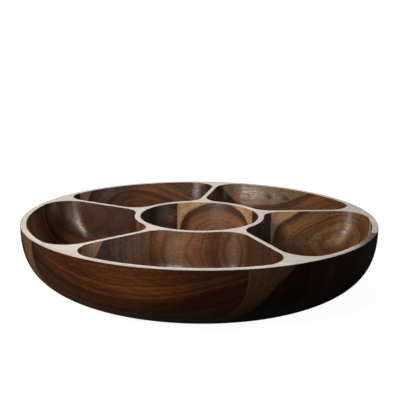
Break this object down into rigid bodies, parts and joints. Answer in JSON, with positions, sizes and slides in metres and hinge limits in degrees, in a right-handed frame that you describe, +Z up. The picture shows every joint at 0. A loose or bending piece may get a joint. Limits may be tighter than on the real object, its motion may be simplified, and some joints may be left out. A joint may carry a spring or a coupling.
{
  "type": "chip and dip server",
  "caption": "Round wooden serving bowl carved from an edge-glued blank, with a central dip well ringed by curved snack compartments.",
  "frame": {"origin": "centre of the flat base, on the surface the server rests on", "axes": "+Z up through the dip well, -Y towards the front, +X to the right"},
  "size_m": [0.356, 0.356, 0.064],
  "materials": {
    "board_front_wood": "dark acacia heartwood, satin lacquer",
    "board_middle_wood": "dark acacia with paler sapwood edges, satin lacquer",
    "board_back_wood": "dark acacia with a paler sapwood edge, satin lacquer",
    "wood_glue": "cured brown wood glue, matte"
  },
  "bodies": {
    "root": {"board_front": "board_front_wood", "board_middle": "board_middle_wood", "board_back": "board_back_wood", "glue_line_front": "wood_glue", "glue_line_back": "wood_glue"}
  },
  "joints": []
}
